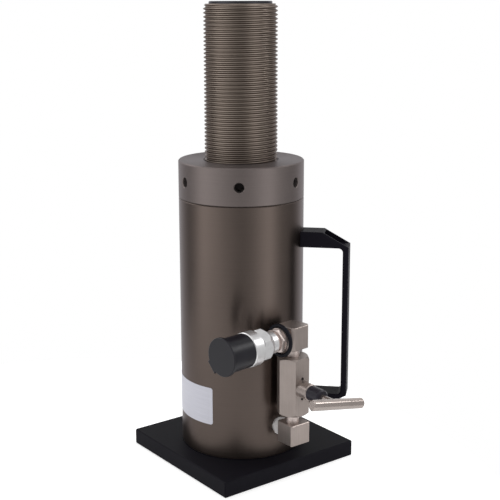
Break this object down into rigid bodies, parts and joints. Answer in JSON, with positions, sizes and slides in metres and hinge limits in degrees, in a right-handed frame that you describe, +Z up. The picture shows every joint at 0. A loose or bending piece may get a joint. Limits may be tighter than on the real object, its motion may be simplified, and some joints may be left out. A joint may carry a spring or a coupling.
{
  "type": "locking collar hydraulic jack",
  "caption": "Single-acting hydraulic jack with a threaded ram, screw-down lock collar, square base plate, needle valve, capped quick coupler and carry handle.",
  "frame": {"origin": "centre of the base plate's underside, on the barrel's axis", "axes": "+Z up along the barrel's axis, X and Y along the plate's sides, the oil port and the valve on the -Y side"},
  "size_m": [0.1844, 0.2432, 0.4812],
  "materials": {
    "black_coating": "satin black powder coat",
    "bronze_anodised": "dark hard anodised, fine turning marks",
    "ram_steel": "dark treated steel, threaded",
    "collar_steel": "dark treated steel, turned",
    "guide_bronze": "bored bronze",
    "seal_rubber": "dark polyurethane",
    "wear_polymer": "bronze-filled polymer",
    "saddle_steel": "black hardened steel",
    "screw_steel": "black oxide",
    "handle_black": "fine textured black coat",
    "zinc": "bright zinc plate",
    "stainless": "ground stainless, light lay",
    "nickel": "warm nickel plate",
    "gland_black": "black oxide, satin",
    "spring_steel": "drawn wire",
    "cap_rubber": "smooth black rubber",
    "label_metal": "blank brushed foil"
  },
  "bodies": {
    "cylinder": {"base_plate": "black_coating", "base_screws": "screw_steel", "barrel": "bronze_anodised", "stop_ring": "guide_bronze", "rod_wiper": "seal_rubber", "carry_handle": "handle_black", "handle_screws": "screw_steel", "port_adapter": "zinc", "lower_block": "stainless", "lower_nipple": "nickel", "valve_body": "stainless", "bonnet_pins": "screw_steel", "valve_bonnet": "stainless", "valve_packing": "seal_rubber", "gland_nut": "gland_black", "upper_nipple": "nickel", "upper_block": "stainless", "coupler_nipple": "nickel", "tether_ring": "cap_rubber", "coupler_body": "zinc", "coupler_seal": "seal_rubber", "check_spring": "spring_steel", "sleeve_clip": "spring_steel", "data_label": "label_metal"},
    "lock_collar": {"lock_collar": "collar_steel"},
    "ram": {"ram": "ram_steel", "wear_rings": "wear_polymer", "piston_seal": "seal_rubber", "backup_ring": "wear_polymer"},
    "saddle": {"saddle": "saddle_steel", "saddle_clip": "spring_steel"},
    "spindle": {"valve_spindle": "nickel", "tee_bar": "nickel"},
    "poppet": {"coupler_poppet": "nickel"},
    "sleeve": {"coupler_sleeve": "zinc"},
    "cap": {"dust_cap": "cap_rubber"}
  },
  "joints": [
    {"name": "collar_turn", "type": "hinge", "parent": "cylinder", "child": "lock_collar", "pos_m": [0, 0, 0.3024], "axis": [0, 0, 1], "range_deg": [0, 13500]},
    {"name": "ram_lift", "type": "slide", "parent": "cylinder", "child": "ram", "axis": [0, 0, 1], "range_m": [-0.15, 0]},
    {"name": "saddle_turn", "type": "hinge", "parent": "ram", "child": "saddle", "pos_m": [0, 0, 0.4766], "axis": [0, 0, 1], "continuous": true},
    {"name": "valve_turn", "type": "hinge", "parent": "cylinder", "child": "spindle", "pos_m": [0, -0.0862, 0.1005], "axis": [0, -1, 0], "range_deg": [0, 720]},
    {"name": "sleeve_turn", "type": "hinge", "parent": "cylinder", "child": "sleeve", "pos_m": [0, -0.0862, 0.1527], "axis": [-0.9945, -0.1045, 0], "continuous": true},
    {"name": "check_lift", "type": "slide", "parent": "cylinder", "child": "poppet", "axis": [0.9945, 0.1045, 0], "range_m": [0, 0.004], "stiffness_N_per_m": 500, "springref_m": -0.01, "deforming": ["check_spring"]},
    {"name": "cap_pull", "type": "slide", "parent": "sleeve", "child": "cap", "axis": [-0.9945, -0.1045, 0], "range_m": [0, 0.035]}
  ],
  "couplings": [
    {"joint": "ram_lift", "follows": "collar_turn", "m_per_rad": -0.00063661}
  ]
}
